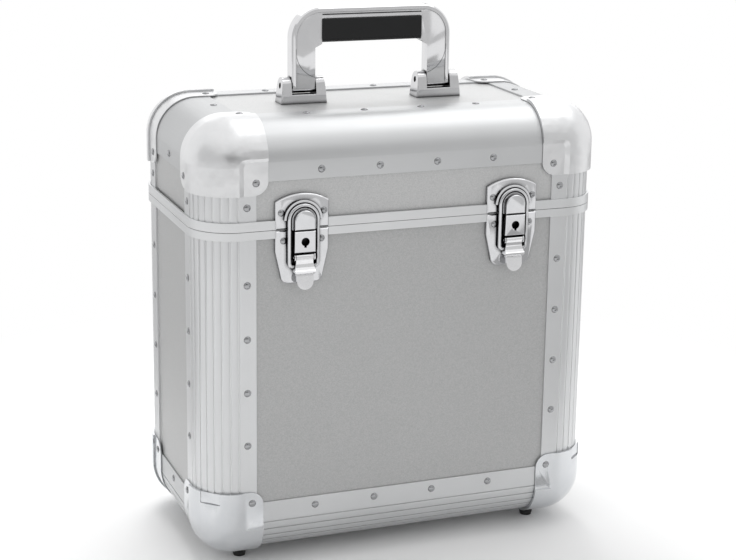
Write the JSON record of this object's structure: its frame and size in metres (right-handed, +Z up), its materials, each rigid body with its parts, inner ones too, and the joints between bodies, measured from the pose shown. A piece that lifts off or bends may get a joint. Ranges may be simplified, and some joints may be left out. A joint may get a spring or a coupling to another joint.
{
  "type": "record carrying case",
  "caption": "Upright record carrying case with ribbed metal edges, ball corners, a back-hinged lid, a folding handle and two draw latches with key locks.",
  "frame": {"origin": "centre of the overall plan at floor level, under the rubber feet", "axes": "+Z up, -Y out of the front with the latches, +X to the right as seen from the front"},
  "size_m": [0.371, 0.2159, 0.4725],
  "materials": {
    "profiles": "satin extruded and pressed aluminium, the bottom caps polished",
    "panels": "fine sparkling grey laminate on board",
    "rivets": "polished rivet heads",
    "lining": "dark closed foam with a napped face",
    "feet": "matt black rubber",
    "grip": "black moulded plastic",
    "chrome_parts": "bright plated steel and zinc castings",
    "hinges": "plated steel",
    "lock_cam": "plain brass"
  },
  "bodies": {
    "base": {"base_belt": "profiles", "base_corners": "profiles", "base_edge_back": "profiles", "base_edge_front": "profiles", "base_edge_left": "profiles", "base_edge_right": "profiles", "base_lining": "lining", "base_panel_back": "panels", "base_panel_front": "panels", "base_panel_left": "panels", "base_panel_right": "panels", "base_panel_bottom": "panels", "base_rivets": "rivets", "base_upright_back_left": "profiles", "base_upright_back_right": "profiles", "base_upright_front_left": "profiles", "base_upright_front_right": "profiles", "rubber_feet": "feet", "latch_plates": "chrome_parts", "latch_pins": "chrome_parts", "hinge_base_leaves": "hinges", "hinge_pins": "hinges"},
    "lid": {"lid_belt": "profiles", "lid_corners": "profiles", "lid_edge_back": "profiles", "lid_edge_front": "profiles", "lid_edge_left": "profiles", "lid_edge_right": "profiles", "lid_lining": "lining", "lid_panel_back": "panels", "lid_panel_front": "panels", "lid_panel_left": "panels", "lid_panel_right": "panels", "lid_panel_top": "panels", "lid_rivets": "rivets", "lid_uprights": "profiles", "keepers": "chrome_parts", "handle_brackets": "chrome_parts", "handle_pins": "chrome_parts", "hinge_lid_leaves": "hinges"},
    "handle": {"handle_frame": "chrome_parts", "handle_grip": "grip"},
    "lever_left": {"latch_lever_left": "chrome_parts"},
    "bail_left": {"latch_bail_left": "chrome_parts"},
    "rotor_left": {"lock_rotor_left": "lock_cam"},
    "lever_right": {"latch_lever_right": "chrome_parts"},
    "bail_right": {"latch_bail_right": "chrome_parts"},
    "rotor_right": {"lock_rotor_right": "lock_cam"}
  },
  "joints": [
    {"name": "lid_hinge", "type": "hinge", "parent": "base", "child": "lid", "pos_m": [0, 0.10475, 0.302], "axis": [-1, 0, 0], "range_deg": [0, 100]},
    {"name": "handle_pivot", "type": "hinge", "parent": "lid", "child": "handle", "pos_m": [0, 0.00175, 0.405], "axis": [1, 0, 0], "range_deg": [-85, 85]},
    {"name": "lever_left_pivot", "type": "hinge", "parent": "base", "child": "lever_left", "pos_m": [-0.0956, -0.10325, 0.279], "axis": [-1, 0, 0], "range_deg": [0, 110]},
    {"name": "bail_left_pivot", "type": "hinge", "parent": "lever_left", "child": "bail_left", "pos_m": [-0.0956, -0.10225, 0.271], "axis": [-1, 0, 0], "range_deg": [-132, 0]},
    {"name": "lock_left_turn", "type": "hinge", "parent": "base", "child": "rotor_left", "pos_m": [-0.0956, -0.10025, 0.2926], "axis": [0, 1, 0], "range_deg": [0, 90]},
    {"name": "lever_right_pivot", "type": "hinge", "parent": "base", "child": "lever_right", "pos_m": [0.0956, -0.10325, 0.279], "axis": [-1, 0, 0], "range_deg": [0, 110]},
    {"name": "bail_right_pivot", "type": "hinge", "parent": "lever_right", "child": "bail_right", "pos_m": [0.0956, -0.10225, 0.271], "axis": [-1, 0, 0], "range_deg": [-132, 0]},
    {"name": "lock_right_turn", "type": "hinge", "parent": "base", "child": "rotor_right", "pos_m": [0.0956, -0.10025, 0.2926], "axis": [0, 1, 0], "range_deg": [0, 90]}
  ],
  "couplings": [
    {"joint": "bail_left_pivot", "follows": "lever_left_pivot", "ratio": -1.2},
    {"joint": "bail_right_pivot", "follows": "lever_right_pivot", "ratio": -1.2}
  ]
}
